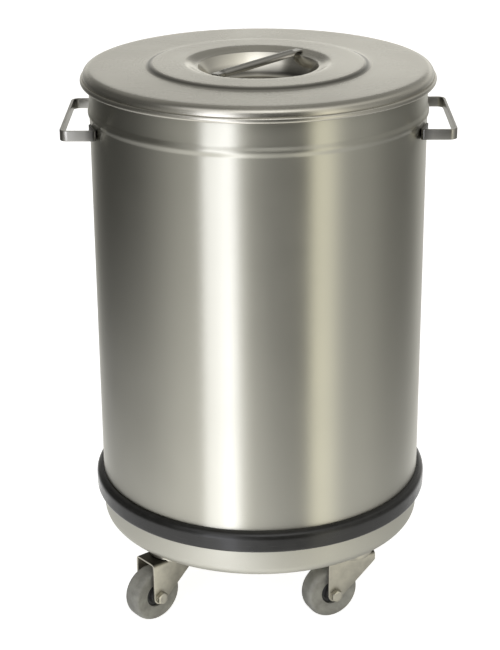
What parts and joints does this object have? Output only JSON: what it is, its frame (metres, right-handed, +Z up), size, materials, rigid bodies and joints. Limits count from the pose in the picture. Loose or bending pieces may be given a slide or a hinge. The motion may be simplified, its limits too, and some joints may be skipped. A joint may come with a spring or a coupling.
{
  "type": "wheeled waste bin",
  "caption": "Round stainless waste bin on swivel castors, with a rubber bumper ring, strap side handles and a lift-off lid with a recessed bar handle.",
  "frame": {"origin": "on the floor under the middle of the drum, the middle of the bottom of the object's box", "axes": "+Z up along the drum's axis, -Y to the front, X through the two side handles"},
  "size_m": [0.436, 0.3988, 0.6398],
  "materials": {
    "drum_steel": "satin brushed",
    "lid_steel": "matt satin",
    "base_steel": "matt pressed",
    "handle_steel": "satin",
    "bumper_rubber": "moulded black rubber",
    "tyre_rubber": "grey rubber",
    "hub_plastic": "moulded",
    "zinc_steel": "zinc plated",
    "race_steel": "polished"
  },
  "bodies": {
    "bin": {"drum_shell": "drum_steel", "drum_floor": "drum_steel", "base_pan": "base_steel", "bumper_ring": "bumper_rubber", "left_handle": "handle_steel", "right_handle": "handle_steel", "castor_front_left_bolt": "zinc_steel", "castor_front_left_washer": "zinc_steel", "castor_front_left_nut": "zinc_steel", "castor_front_left_swivel_cap": "zinc_steel", "castor_front_left_ball_ring": "race_steel", "castor_front_right_bolt": "zinc_steel", "castor_front_right_washer": "zinc_steel", "castor_front_right_nut": "zinc_steel", "castor_front_right_swivel_cap": "zinc_steel", "castor_front_right_ball_ring": "race_steel", "castor_rear_left_bolt": "zinc_steel", "castor_rear_left_washer": "zinc_steel", "castor_rear_left_nut": "zinc_steel", "castor_rear_left_swivel_cap": "zinc_steel", "castor_rear_left_ball_ring": "race_steel", "castor_rear_right_bolt": "zinc_steel", "castor_rear_right_washer": "zinc_steel", "castor_rear_right_nut": "zinc_steel", "castor_rear_right_swivel_cap": "zinc_steel", "castor_rear_right_ball_ring": "race_steel"},
    "lid": {"lid_panel": "lid_steel", "lid_handle_bar": "handle_steel"},
    "fork_front_left": {"castor_front_left_fork": "zinc_steel", "castor_front_left_axle": "zinc_steel", "castor_front_left_axle_nut": "zinc_steel", "castor_front_left_sleeve": "zinc_steel"},
    "wheel_front_left": {"castor_front_left_hub": "hub_plastic", "castor_front_left_tyre": "tyre_rubber"},
    "fork_front_right": {"castor_front_right_fork": "zinc_steel", "castor_front_right_axle": "zinc_steel", "castor_front_right_axle_nut": "zinc_steel", "castor_front_right_sleeve": "zinc_steel"},
    "wheel_front_right": {"castor_front_right_hub": "hub_plastic", "castor_front_right_tyre": "tyre_rubber"},
    "fork_rear_left": {"castor_rear_left_fork": "zinc_steel", "castor_rear_left_axle": "zinc_steel", "castor_rear_left_axle_nut": "zinc_steel", "castor_rear_left_sleeve": "zinc_steel"},
    "wheel_rear_left": {"castor_rear_left_hub": "hub_plastic", "castor_rear_left_tyre": "tyre_rubber"},
    "fork_rear_right": {"castor_rear_right_fork": "zinc_steel", "castor_rear_right_axle": "zinc_steel", "castor_rear_right_axle_nut": "zinc_steel", "castor_rear_right_sleeve": "zinc_steel"},
    "wheel_rear_right": {"castor_rear_right_hub": "hub_plastic", "castor_rear_right_tyre": "tyre_rubber"}
  },
  "joints": [
    {"name": "lid_lift", "type": "slide", "parent": "bin", "child": "lid", "axis": [0, 0, 1], "range_m": [0, 0.3]},
    {"name": "swivel_front_left", "type": "hinge", "parent": "bin", "child": "fork_front_left", "pos_m": [-0.10607, -0.10607, 0.08], "axis": [0, 0, 1], "continuous": true},
    {"name": "roll_front_left", "type": "hinge", "parent": "fork_front_left", "child": "wheel_front_left", "pos_m": [-0.1279, -0.12438, 0.0325], "axis": [0.6428, -0.766, 0], "continuous": true},
    {"name": "swivel_front_right", "type": "hinge", "parent": "bin", "child": "fork_front_right", "pos_m": [0.10607, -0.10607, 0.08], "axis": [0, 0, 1], "continuous": true},
    {"name": "roll_front_right", "type": "hinge", "parent": "fork_front_right", "child": "wheel_front_right", "pos_m": [0.08045, -0.11856, 0.0325], "axis": [0.4384, -0.8988, 0], "continuous": true},
    {"name": "swivel_rear_left", "type": "hinge", "parent": "bin", "child": "fork_rear_left", "pos_m": [-0.10607, 0.10607, 0.08], "axis": [0, 0, 1], "continuous": true},
    {"name": "roll_rear_left", "type": "hinge", "parent": "fork_rear_left", "child": "wheel_rear_left", "pos_m": [-0.12969, 0.09013, 0.0325], "axis": [0.5592, -0.829, 0], "continuous": true},
    {"name": "swivel_rear_right", "type": "hinge", "parent": "bin", "child": "fork_rear_right", "pos_m": [0.10607, 0.10607, 0.08], "axis": [0, 0, 1], "continuous": true},
    {"name": "roll_rear_right", "type": "hinge", "parent": "fork_rear_right", "child": "wheel_rear_right", "pos_m": [0.08164, 0.09139, 0.0325], "axis": [0.515, -0.8572, 0], "continuous": true}
  ]
}
